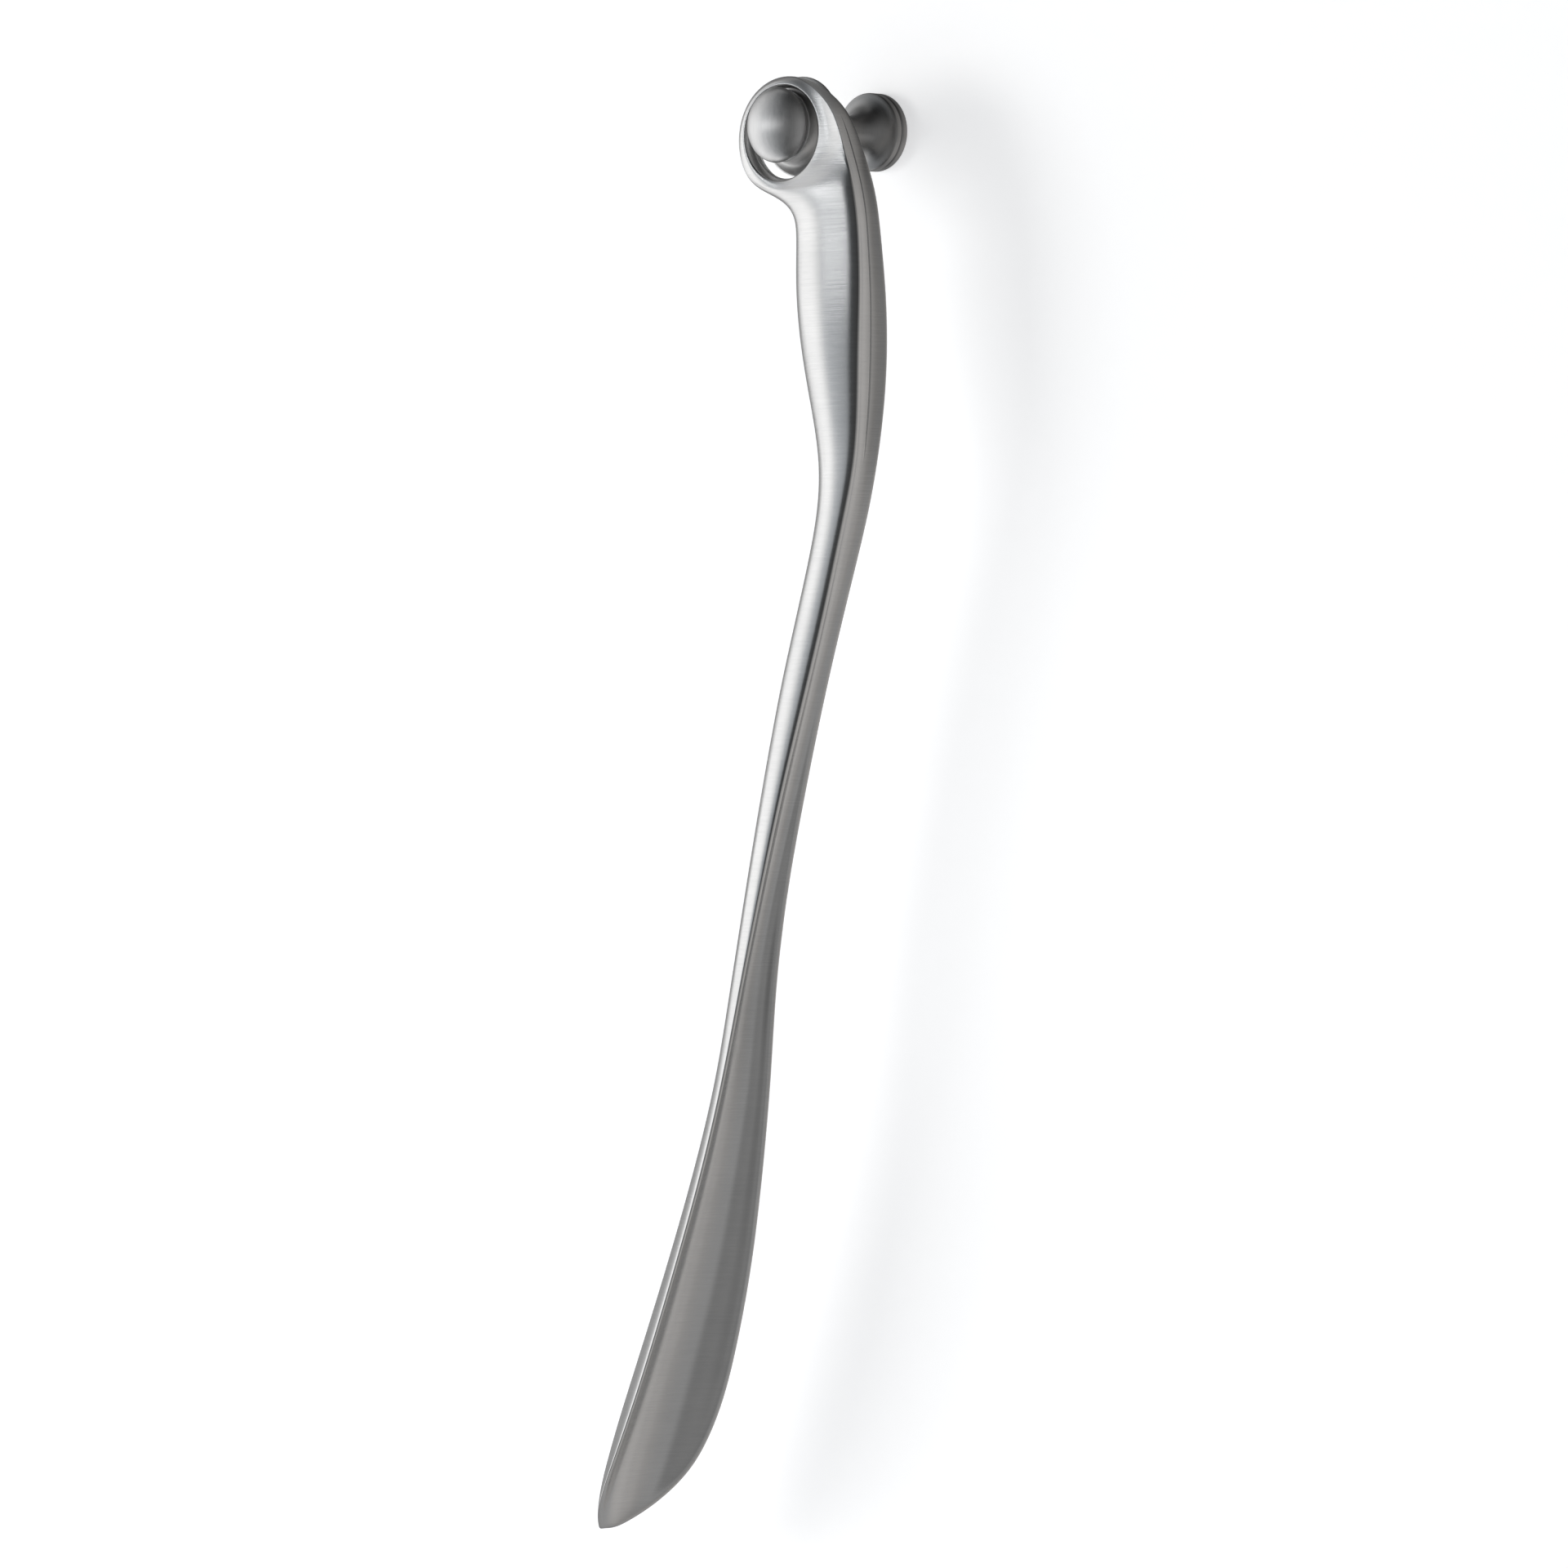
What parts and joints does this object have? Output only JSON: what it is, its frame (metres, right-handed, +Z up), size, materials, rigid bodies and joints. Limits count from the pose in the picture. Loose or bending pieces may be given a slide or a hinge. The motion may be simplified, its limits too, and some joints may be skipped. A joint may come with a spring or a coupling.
{
  "type": "long shoehorn",
  "caption": "Long curved shoehorn with an eye ring, thick handle, slim shaft and deep trough blade, hanging on its round wall hook.",
  "frame": {"origin": "centre of the hook's wall face, which lies on the wall", "axes": "+Y into the wall, +Z up, +X the way the shoehorn's hollow side faces; the shoehorn hangs parallel to the wall"},
  "size_m": [0.139, 0.1083, 0.5648],
  "materials": {
    "satin_cast_aluminium": "satin, brushed by belt",
    "satin_turned_aluminium": "satin, brushed on the lathe",
    "plated_steel": "zinc plated",
    "grey_nylon": "moulded"
  },
  "bodies": {
    "hook": {"wall_plate": "satin_turned_aluminium", "wall_screw_left": "plated_steel", "wall_screw_right": "plated_steel", "wall_plug_left": "grey_nylon", "wall_plug_right": "grey_nylon", "hook_base": "satin_turned_aluminium", "grub_screw": "plated_steel", "hook_stud": "plated_steel", "hook_collar": "satin_turned_aluminium", "hook_knob": "satin_turned_aluminium"},
    "shoehorn": {"shoehorn": "satin_cast_aluminium"}
  },
  "joints": [
    {"name": "swing", "type": "hinge", "parent": "hook", "child": "shoehorn", "pos_m": [0, -0.0534, -0.0029], "axis": [0, -1, 0], "continuous": true}
  ]
}
